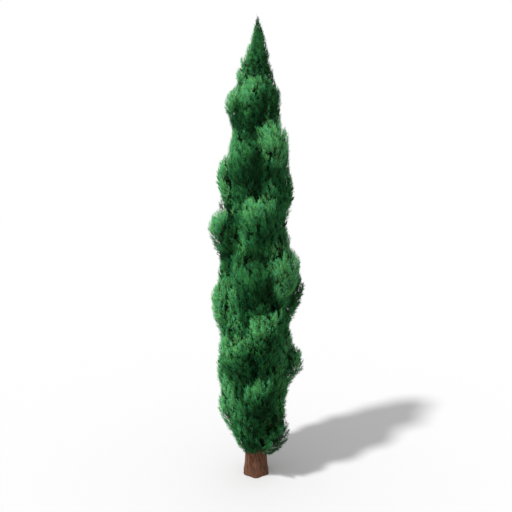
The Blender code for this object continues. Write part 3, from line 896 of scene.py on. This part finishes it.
def bark_material(name, bark):
    """Fibrous bark: brown strips, dark in the furrows, with greyer weathered fibres along the ridges."""
    made, nodes, links, shader = principled(name, bark.ridge, *BARK_FINISH)
    relief = nodes.new("ShaderNodeAttribute")
    relief.attribute_name = "relief"
    strips = stretched_noise(nodes, links, *STRIP_NOISE)
    fibres = stretched_noise(nodes, links, *FIBRE_NOISE)
    weather = stretched_noise(nodes, links, *WEATHER_NOISE)
    shade = multiply_add(nodes, links, relief.outputs["Fac"], *SHADE_OF_RELIEF)
    shade = multiply_add(nodes, links, strips, SHADE_OF_STRIPS, shade)
    shade = multiply_add(nodes, links, fibres, SHADE_OF_FIBRES, shade)
    ramp = nodes.new("ShaderNodeValToRGB")
    steps = ramp.color_ramp.elements
    steps.new(SHADE_PLACES[1])
    browns = [[share * channel for channel in bark.ridge] for share in RIDGE_SHADES]
    for step, place, brown in zip(steps, SHADE_PLACES, (bark.furrow, *browns)):
        step.position = place
        step.color = (*brown, 1.0)
    links.new(shade, ramp.inputs["Fac"])
    grey = nodes.new("ShaderNodeMixRGB")
    grey.inputs["Color2"].default_value = (*[sum(bark.ridge) / 3 * cast for cast in GREY_CAST], 1.0)
    links.new(map_range(nodes, links, weather, *GREY_SHARES), grey.inputs["Fac"])
    links.new(ramp.outputs["Color"], grey.inputs["Color1"])
    links.new(grey.outputs["Color"], shader.inputs["Base Color"])
    grain = multiply_add(nodes, links, strips, GRAIN_OF_STRIPS, fibres)
    bump(nodes, links, shader, grain, *GRAIN_BUMP)
    links.new(map_range(nodes, links, fibres, *BARK_ROUGHNESS), shader.inputs["Roughness"])
    return made


def grain_at(x, y, z, width, length):
    """A noise that is stretched along the trunk."""
    return noise.noise(Vector((x / width, y / width, z / length)))


def groove(grain):
    """From 0 beside a groove to 1 in its middle, which is where the noise passes through 0."""
    return (1.0 - min(1.0, GROOVE_SLOPE * abs(grain))) ** 2


def bark_relief(x, y, z):
    """From 0 in a furrow to 1 on a ridge: strips between long furrows, with splits and fibres on them."""
    turn = BARK_SPIRAL * z
    x, y = x * math.cos(turn) - y * math.sin(turn), x * math.sin(turn) + y * math.cos(turn)
    across, along = WANDERS_PER_METRE
    wander = BARK_WANDER * noise.noise(Vector((x * across, y * across, z * along)))
    furrow = groove(grain_at(x + wander, y - wander, z, *STRIPS))
    split = groove(grain_at(x - wander, y + wander, z, *SPLITS))
    fibre = grain_at(x, y, z, *FIBRES)
    return max(0.0, 1.0 - FURROW_SHARE * furrow - SPLIT_SHARE * split + FIBRE_SHARE * fibre)


class CypressGrowth(PropertyGroup):
    """How densely the crown grows."""

    seed: IntProperty(name="Seed", description="Start of every random draw", default=7, min=0)
    ring_step: FloatProperty(
        name="Ring step", description="Height from ring to ring of plumes", default=0.145, unit="LENGTH"
    )
    plume_gap: FloatProperty(
        name="Plume gap", description="Distance between plumes in a ring", default=0.17, unit="LENGTH"
    )
    plumes_on_tuft: IntProperty(
        name="Plumes on a tuft", description="Further plumes on a full tuft", default=16, min=0
    )
    crest_plumes: IntProperty(
        name="Crest plumes", description="Plumes that close the top of a full tuft", default=12, min=0
    )
    sprays_per_plume: IntProperty(
        name="Sprays", description="Sprays up the sides of a plume", default=6, min=1
    )
    branchlet_width: FloatProperty(
        name="Branchlet width", description="A branchlet's width per metre of its spray", default=0.047
    )
    inner_step: FloatProperty(
        name="Inner step", description="Distance between the inner sprays", default=0.104, unit="LENGTH"
    )


class CypressBark(PropertyGroup):
    """The bark's relief and colours."""

    depth: FloatProperty(name="Depth", description="Depth of the furrows", default=0.011, unit="LENGTH")
    ridge: FloatVectorProperty(
        name="Ridge", description="Colour of the strips", default=(0.098, 0.0375, 0.0175), subtype="COLOR"
    )
    furrow: FloatVectorProperty(
        name="Furrow", description="Colour between them", default=(0.0165, 0.0066, 0.0034), subtype="COLOR"
    )


class CypressGreens(PropertyGroup):
    """The plain greens that are dealt out by spray."""

    inner: FloatVectorProperty(
        name="Inner", description="Sprays inside the crown", default=(0.0072, 0.06, 0.0172), subtype="COLOR"
    )
    dark: FloatVectorProperty(
        name="Dark", description="Sprays in the shade", default=(0.0078, 0.07, 0.0185), subtype="COLOR"
    )
    mid: FloatVectorProperty(
        name="Mid", description="Sprays in middling light", default=(0.036, 0.24, 0.066), subtype="COLOR"
    )
    light: FloatVectorProperty(
        name="Light", description="Sprays that face the sun", default=(0.13, 0.515, 0.178), subtype="COLOR"
    )


class CypressStage(PropertyGroup):
    """The floor, the sky and the key light."""

    floor: FloatVectorProperty(
        name="Floor", description="Colour of the floor", default=(0.46, 0.46, 0.46), subtype="COLOR"
    )
    sky: FloatProperty(name="Sky", description="Strength of the white sky", default=1.0, min=0.0)
    sun: FloatProperty(name="Sun", description="Strength of the key light", default=4.45, min=0.0)
    softness: FloatProperty(
        name="Softness", description="Angle that the light fills", default=math.radians(5), subtype="ANGLE"
    )


def dress(obj, slot, nodes, *finishes):
    """Gives a piece its materials, fixes it to the tree, and lets it stand for solids; its slot is not
    used.
    """
    for finish in finishes:
        obj.data.materials.append(finish)
    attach(obj, "root")
    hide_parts(*nodes)


class CYPRESS_OT_trunk(Operator):
    """Model the trunk's bark"""

    bl_idname = "cypress.trunk"
    bl_label = "Trunk"

    def execute(self, context):
        bark = context.scene.cypress_bark
        select_none()
        bpy.ops.mesh.primitive_circle_add(
            vertices=BARK_SIDES, radius=TRUNK_RADIUS, fill_type="NGON", location=(0.0, 0.0, 0.0)
        )
        trunk = context.object
        trunk.name = "trunk_bark"
        bare = np.arange(BARK_STEP, BARE_HEIGHT, BARK_STEP)
        hidden = np.linspace(BARE_HEIGHT, TRUNK_TOP, HIDDEN_STEPS)
        heights = (0.0, *bare, *hidden)
        bpy.ops.object.mode_set(mode="EDIT")
        bpy.ops.mesh.select_all(action="SELECT")
        for low, high in zip(heights, heights[1:]):
            bpy.ops.mesh.extrude_region_move(TRANSFORM_OT_translate={"value": (0.0, 0.0, high - low)})
        bpy.ops.mesh.select_all(action="SELECT")
        bpy.ops.mesh.normals_make_consistent(inside=False)
        bpy.ops.object.mode_set(mode="OBJECT")
        mesh = trunk.data
        relief = mesh.attributes.new("relief", "FLOAT", "POINT")
        for vertex in mesh.vertices:
            x, y, z = vertex.co
            bearing = math.degrees(math.atan2(x, -y))
            raised = bark_relief(x, y, z)
            relief.data[vertex.index].value = raised
            sunk = bark.depth * (1.0 - raised) * min(1.0, trunk_radius(z) / THIN_TRUNK)
            radius = trunk_radius(z, bearing) - sunk
            vertex.co.x = radius * math.sin(math.radians(bearing))
            vertex.co.y = -radius * math.cos(math.radians(bearing))
        bpy.ops.object.shade_smooth()
        dress(trunk, "bark", ["trunk"], bark_material("bark", bark))
        return {"FINISHED"}


class CYPRESS_OT_boughs(Operator):
    """Grow the boughs from the trunk to the crests of the masses"""

    bl_idname = "cypress.boughs"
    bl_label = "Boughs"

    def execute(self, context):
        bark = context.scene.cypress_bark
        shares = np.linspace(0.0, 1.0, BOUGH_RINGS)
        paths = np.array([bough_points(number, shares) for number in range(len(HEARTS))])
        full = girth_share(HEARTS[:, 2])
        radii = mix(BOUGH_RADIUS, full)[:, None] * mix((1.0, BOUGH_TIP), shares)
        points, faces = tubes(paths, radii, BOUGH_SIDES)
        boughs = as_object("boughs", points, faces)
        dress(boughs, "bark", NODES, bark_material("bough_bark", bark))
        return {"FINISHED"}


class CYPRESS_OT_twigs(Operator):
    """Grow a twig from its bough through every plume"""

    bl_idname = "cypress.twigs"
    bl_label = "Twigs"

    def execute(self, context):
        growth, bark = context.scene.cypress_growth, context.scene.cypress_bark
        plumes = Plumes(growth)
        outer = [plumes.at(share)[0] for share in TWIG_SHARES]
        root = outer[0]
        feet = np.empty_like(root)
        for number in range(len(HEARTS)):
            own = plumes.mass == number
            low, high = bough_points(number, (0.0, 1.0))[:, 2]
            share = np.clip((root[own, 2] - TWIG_DROP - low) / (high - low), *TWIG_FEET)
            feet[own] = bough_points(number, share)
        between = mix((feet, root), TWIG_BEND) + UP * TWIG_LIFT * (feet[:, 2:] - root[:, 2:])
        paths = np.stack((feet, between, *outer), axis=1)
        girth = mix(TWIG_GIRTHS, girth_share(plumes.height)) * TWIG_RADIUS
        points, faces = tubes(paths, girth[:, None] * np.array(TWIG_TAPER), TWIG_SIDES)
        twigs = as_object("twigs", points, faces)
        dress(twigs, "bark", NODES, bark_material("twig_bark", bark))
        return {"FINISHED"}


def inner_places(step, dice):
    """(bearings, heights, shares) of the sprays inside the crown: on each tuft, and in rings in layers."""
    bearings, heights, shares = [], [], []
    low, high = INNER_TUFT_HEIGHTS
    tufts = zip(TUFTS, TUFT_TURNS, TUFT_RISES, TUFT_DROPS)
    for (bearing, middle, reach, _), half_turn, rise, drop in tufts:
        count = earned(INNER_ON_TUFT, reach)
        bearings.append(bearing + half_turn * either_way(dice, PATCH_WIDTH, count))
        heights.append(middle + dice.uniform(low * drop, high * rise, count))
        shares.append(dice.uniform(*INNER_TUFT_SHARES, count))
    for share, scale in INNER_LAYERS:
        own_step = step * scale
        for row in range(int((TREE_HEIGHT - INNER_TOP - PLUME_FOOT) / own_step)):
            height = PLUME_FOOT + row * own_step
            ring = ring_bearings(row, height, own_step, FEWEST_INNER, INNER_JITTER, dice)
            bearings.append(ring)
            heights.append(np.full(len(ring), height))
            shares.append(np.full(len(ring), share))
    return *joined_places(bearings, heights), np.concatenate(shares)


class CYPRESS_OT_inner_sprays(Operator):
    """Fill the crown's inside with dark, coarser sprays"""

    bl_idname = "cypress.inner_sprays"
    bl_label = "Inner sprays"

    def execute(self, context):
        growth, greens = context.scene.cypress_growth, context.scene.cypress_greens
        dice = np.random.default_rng(growth.seed + 1)
        bearing, height, share = inner_places(growth.inner_step, dice)
        count = len(bearing)
        full = girth_share(height)
        length = mix(INNER_LENGTH, full) * dice.uniform(*LENGTH_SPREAD, count)
        depth = mix(INNER_DEPTH, full) * dice.uniform(*DEPTH_SPREAD, count)
        column = np.minimum(column_radius(height), column_radius(height + length))
        corners = [
            crown_radius(bearing + turn, height + rise)
            for turn in (-INNER_TURN, 0.0, INNER_TURN)
            for rise in (0.0, length)
        ]
        tufts = np.minimum.reduce(corners) - column
        room = column + share * tufts - (1.0 - share) * INNER_INSET * column
        out = outwards(bearing)
        side = np.cross(UP, out)
        lean, sway = dice.uniform(*INNER_LEAN, count), either_way(dice, INNER_SWAY, count)
        along = unit(UP + out * lean[:, None] + side * sway[:, None])
        root = on_circle(bearing, np.maximum(INNER_RADIUS, room - depth), height)
        frames = frames_of(along, out, either_way(dice, INNER_ROLL, count))
        kinds, faces = spray_kinds(INNER_BRANCHLETS, INNER_WIDTH, False, dice)
        points = stand_up(kinds, dice.integers(0, SPRAY_KINDS, count), root, frames, length)
        green = scale_leaves("inner_green", greens.inner)
        mass = mass_at(bearing, height)
        for part, own in in_parts(np.argsort(height), MOST_INNER_SPRAYS):
            inner = as_object(f"inner_sprays_{part}", points[own], faces)
            nodes = [NODES[number] for number in np.unique(mass[own])]
            dress(inner, "foliage_dark", nodes, green)
        return {"FINISHED"}


class CYPRESS_OT_sprays(Operator):
    """Grow the sprays on every plume"""

    bl_idname = "cypress.sprays"
    bl_label = "Sprays"

    def execute(self, context):
        growth, greens = context.scene.cypress_growth, context.scene.cypress_greens
        plumes = Plumes(growth)
        sprays = Sprays(plumes, growth)
        dice = np.random.default_rng(growth.seed + 2)
        kinds, faces = spray_kinds(BRANCHLETS, growth.branchlet_width, True, dice)
        kind = dice.integers(0, SPRAY_KINDS, sprays.count)
        lightness = sprays.lightness(dice)
        shade = np.abs(lightness[:, None] - np.concatenate(list(SHADES.values()))).argmin(axis=1)
        look = shade * len(TINTS) + dice.integers(0, len(TINTS), sprays.count)
        first = 0
        for green, shades in SHADES.items():
            looks = [(step, cast) for step in shades for cast in TINTS]
            own = np.flatnonzero(np.isin(look - first, np.arange(len(looks))))
            own = own[np.argsort(sprays.root[own, 2])]
            worn = [
                scale_leaves(f"{green}_green_{first + n}", green_at(greens, *look_of))
                for n, look_of in enumerate(looks)
            ]
            for part, chosen in in_parts(own, MOST_SPRAYS):
                root, frames, size = sprays.root[chosen], sprays.frame[chosen], sprays.size[chosen]
                points = stand_up(kinds, kind[chosen], root, frames, size)
                outer = as_object(f"sprays_{green}_{part}", points, faces, look[chosen] - first)
                nodes = [NODES[number] for number in np.unique(sprays.mass[chosen])]
                dress(outer, f"foliage_{green}", nodes, *worn)
            first += len(looks)
        return {"FINISHED"}


class CYPRESS_OT_stage(Operator):
    """Set up the floor, the light and the camera"""

    bl_idname = "cypress.stage"
    bl_label = "Stage"

    def execute(self, context):
        stage = context.scene.cypress_stage
        select_none()
        bpy.ops.mesh.primitive_plane_add(size=FLOOR_SIZE, location=(0.0, 0.0, 0.0))
        floor = context.object
        floor.name = "floor"
        floor.data.materials.append(principled("floor", stage.floor, *FLOOR_FINISH)[0])
        world = bpy.data.worlds.new("sky")
        world.use_nodes = True
        sky = world.node_tree.nodes["Background"].inputs
        sky["Color"].default_value = (1.0, 1.0, 1.0, 1.0)
        sky["Strength"].default_value = stage.sky
        context.scene.world = world
        context.scene.view_settings.view_transform = "Standard"
        towards_light = Vector(SUNWARD) * TREE_HEIGHT
        turn = towards_light.to_track_quat("Z", "Y").to_euler()
        bpy.ops.object.light_add(type="SUN", location=towards_light * 2, rotation=turn)
        context.object.name = "key_light"
        context.object.data.energy = stage.sun
        context.object.data.angle = stage.softness
        aim = Vector((0.0, 0.0, TREE_HEIGHT / 2)) - Vector(CAMERA_PLACE)
        turn = aim.to_track_quat("-Z", "Y").to_euler()
        bpy.ops.object.camera_add(location=CAMERA_PLACE, rotation=turn)
        camera = context.object
        camera.data.sensor_width = CAMERA_SENSOR
        camera.data.lens = CAMERA_LENS
        camera.data.clip_end = CAMERA_REACH
        context.scene.camera = camera
        return {"FINISHED"}


class CYPRESS_PT_panel(Panel):
    """The cypress's settings and steps."""

    bl_idname = "CYPRESS_PT_panel"
    bl_label = "Cypress"
    bl_space_type = "VIEW_3D"
    bl_region_type = "UI"
    bl_category = "Cypress"

    def draw(self, context):
        layout = self.layout
        for name, kind in SETTINGS:
            box = layout.box()
            box.label(text=kind.__name__.replace("Cypress", ""))
            for setting in kind.__annotations__:
                box.prop(getattr(context.scene, name), setting)
        for step in STEPS:
            layout.operator(step.bl_idname)


SETTINGS = (
    ("cypress_growth", CypressGrowth),
    ("cypress_bark", CypressBark),
    ("cypress_greens", CypressGreens),
    ("cypress_stage", CypressStage),
)
STEPS = (
    CYPRESS_OT_stage,
    CYPRESS_OT_trunk,
    CYPRESS_OT_boughs,
    CYPRESS_OT_twigs,
    CYPRESS_OT_inner_sprays,
    CYPRESS_OT_sprays,
)


def register():
    for name, kind in SETTINGS:
        bpy.utils.register_class(kind)
        setattr(bpy.types.Scene, name, PointerProperty(type=kind))
    for made in (*STEPS, CYPRESS_PT_panel):
        bpy.utils.register_class(made)


def unregister():
    for made in (CYPRESS_PT_panel, *reversed(STEPS)):
        bpy.utils.unregister_class(made)
    for name, kind in reversed(SETTINGS):
        delattr(bpy.types.Scene, name)
        bpy.utils.unregister_class(kind)


def main():
    register()
    bpy.ops.cypress.stage()
    bpy.ops.cypress.trunk()
    bpy.ops.cypress.boughs()
    bpy.ops.cypress.twigs()
    bpy.ops.cypress.inner_sprays()
    bpy.ops.cypress.sprays()


if __name__ == "__main__":
    main()
